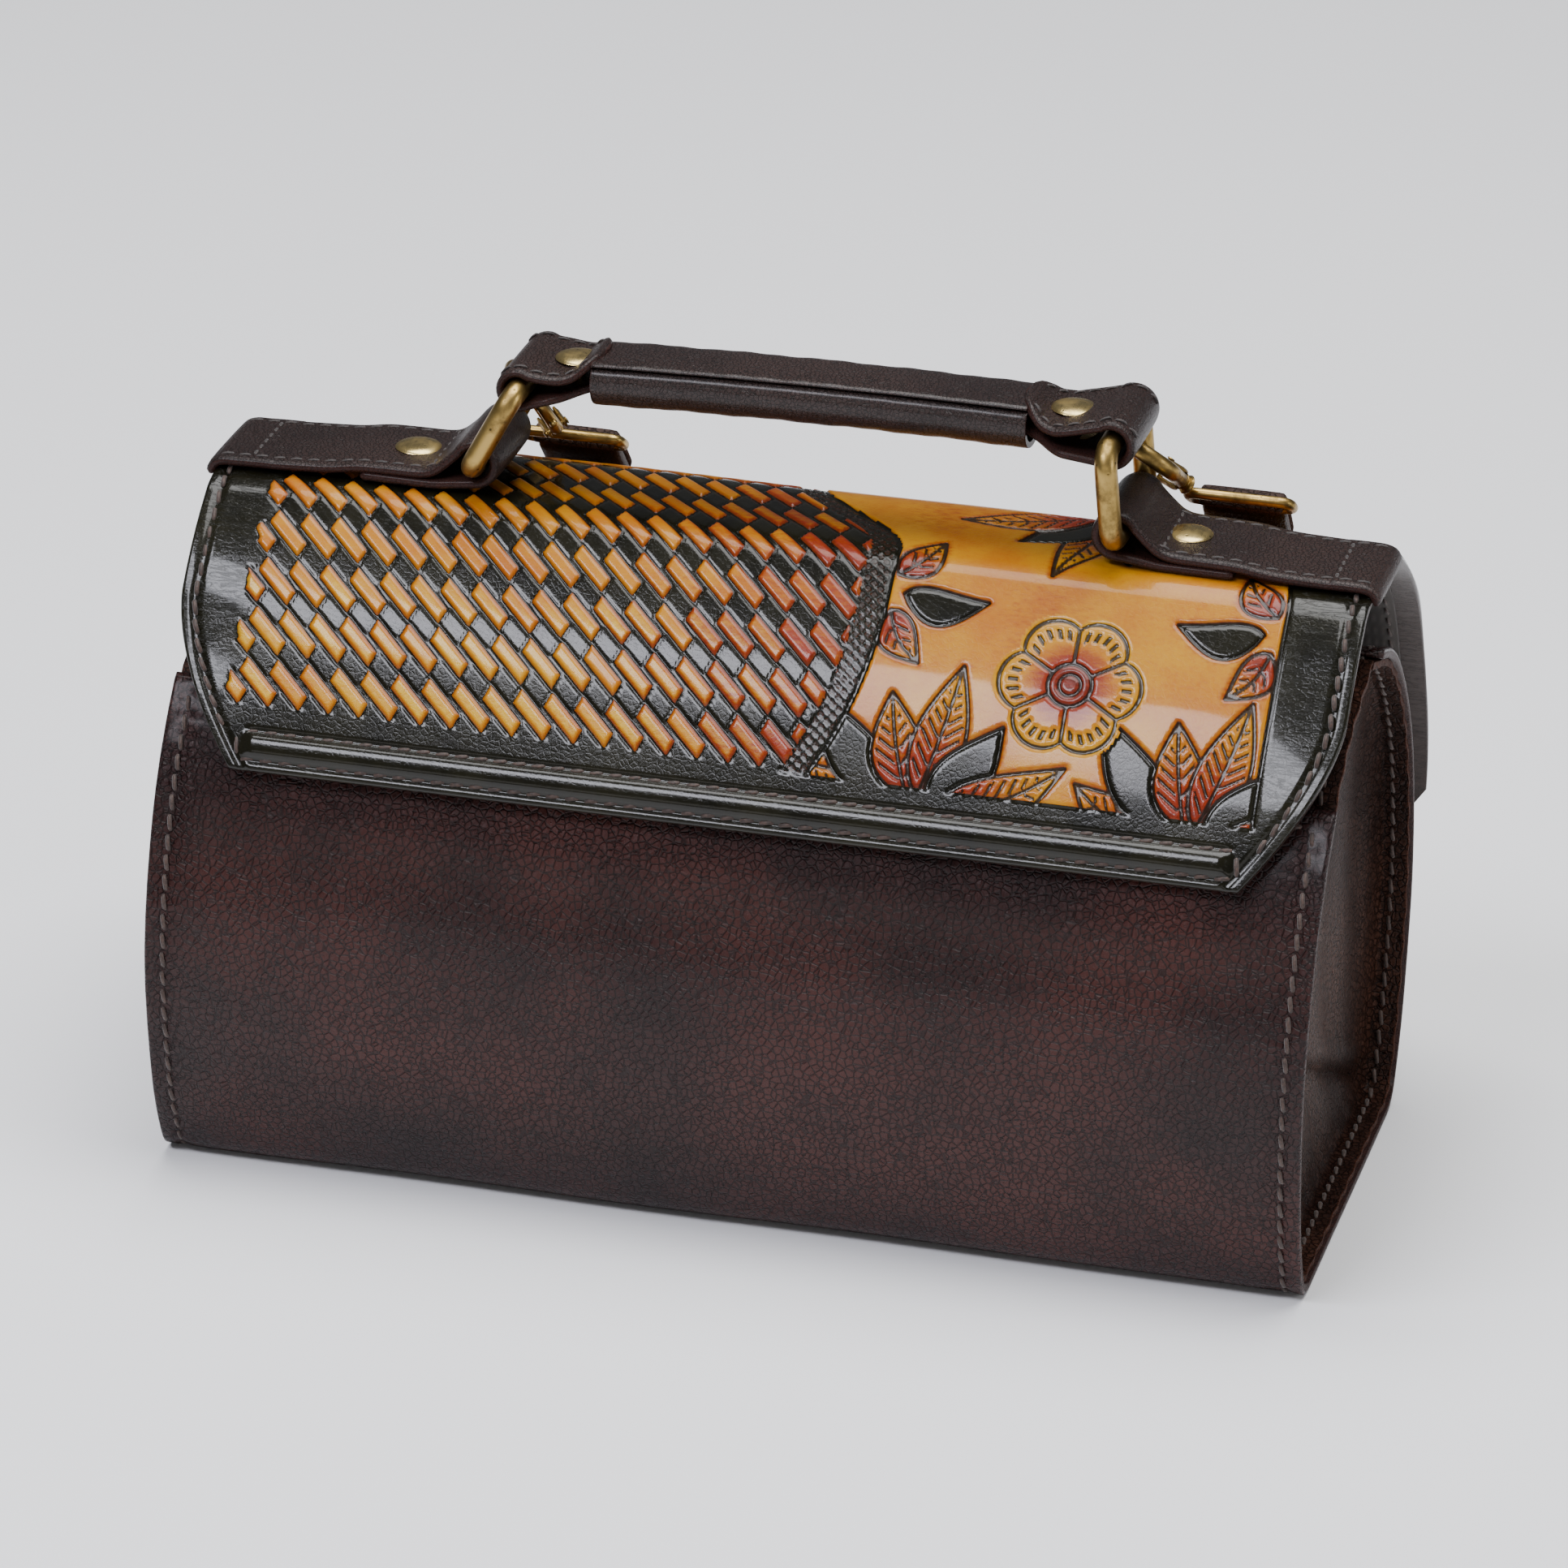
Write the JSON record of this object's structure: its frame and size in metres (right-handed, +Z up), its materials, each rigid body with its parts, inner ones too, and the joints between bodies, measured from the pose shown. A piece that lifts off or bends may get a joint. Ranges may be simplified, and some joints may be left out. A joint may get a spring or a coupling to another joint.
{
  "type": "handbag",
  "caption": "Small barrel-shaped leather handbag with a one-piece fold-over flap cover, a top handle on swinging rings and a clip-on shoulder strap rolled up behind it.",
  "frame": {"origin": "the middle of the flat base, where the bag stands on Z = 0", "axes": "+X along the bag's length, +Y from the flap side to the back, +Z up"},
  "size_m": [0.25, 0.2341, 0.1753],
  "materials": {
    "body_leather": "satin",
    "gusset_leather": "satin",
    "cover_leather": "gloss",
    "strap_leather": "satin",
    "lining": "matte",
    "board": "matte",
    "brass": "antique",
    "magnet": "satin"
  },
  "bodies": {
    "bag": {"body_wrap": "body_leather", "body_lining": "lining", "base_board": "board", "gusset_left": "gusset_leather", "gusset_right": "gusset_leather", "cover_back": "cover_leather", "cover_lining": "lining", "base_strap_left": "strap_leather", "base_strap_right": "strap_leather", "base_rivet_left": "brass", "base_rivet_right": "brass", "body_magnet_left": "magnet", "body_magnet_right": "magnet", "belt_roll": "strap_leather", "belt_run_left": "strap_leather", "belt_run_right": "strap_leather", "strap_eye_left": "brass", "strap_eye_right": "brass"},
    "flap": {"front_flap": "cover_leather", "flap_lining": "lining", "flap_stiffener": "board", "flap_magnet_left": "magnet", "flap_magnet_right": "magnet"},
    "left_ring": {"ring_left": "brass"},
    "right_ring": {"ring_right": "brass"},
    "handle": {"handle_strap": "strap_leather", "handle_grip": "strap_leather", "handle_core": "board", "handle_rivet_left": "brass", "handle_rivet_right": "brass"},
    "left_hook": {"hook_left": "brass", "gate_pin_left": "brass"},
    "left_gate": {"hook_gate_left": "brass"},
    "right_hook": {"hook_right": "brass", "gate_pin_right": "brass"},
    "right_gate": {"hook_gate_right": "brass"}
  },
  "joints": [
    {"name": "flap_lift", "type": "hinge", "parent": "bag", "child": "flap", "pos_m": [0, -0.01345, 0.1417], "axis": [-1, 0, 0], "range_deg": [0, 110]},
    {"name": "left_ring_swing", "type": "hinge", "parent": "bag", "child": "left_ring", "pos_m": [-0.0675, 0.003, 0.15], "axis": [0, 1, 0], "range_deg": [-2, 12]},
    {"name": "handle_tilt", "type": "hinge", "parent": "left_ring", "child": "handle", "pos_m": [-0.05811, 0.003, 0.16766], "axis": [0, 1, 0], "range_deg": [-15, 4]},
    {"name": "right_ring_swing", "type": "hinge", "parent": "bag", "child": "right_ring", "pos_m": [0.071, 0.003, 0.15], "axis": [0, 1, 0], "range_deg": [-2, 12]},
    {"name": "left_hook_swivel", "type": "hinge", "parent": "bag", "child": "left_hook", "pos_m": [-0.06337, 0.01993, 0.15563], "axis": [0.1998, 0.6194, -0.7592], "range_deg": [-6, 6]},
    {"name": "left_gate_pivot", "type": "hinge", "parent": "left_hook", "child": "left_gate", "pos_m": [-0.05876, 0.02228, 0.14769], "axis": [-0.7156, -0.4371, -0.5449], "range_deg": [0, 7], "stiffness_Nm_per_rad": 0.003, "springref_deg": -17.19},
    {"name": "right_hook_swivel", "type": "hinge", "parent": "bag", "child": "right_hook", "pos_m": [0.07064, 0.02044, 0.15678], "axis": [0.6202, 0.4802, -0.6202], "range_deg": [-6, 2]},
    {"name": "right_gate_pivot", "type": "hinge", "parent": "right_hook", "child": "right_gate", "pos_m": [0.07299, 0.02778, 0.15127], "axis": [0.435, 0.4474, 0.7814], "range_deg": [0, 7], "stiffness_Nm_per_rad": 0.003, "springref_deg": -17.19}
  ],
  "couplings": [
    {"joint": "right_ring_swing", "follows": "left_ring_swing", "ratio": 0.7963},
    {"joint": "handle_tilt", "follows": "left_ring_swing", "ratio": -1.0911}
  ]
}
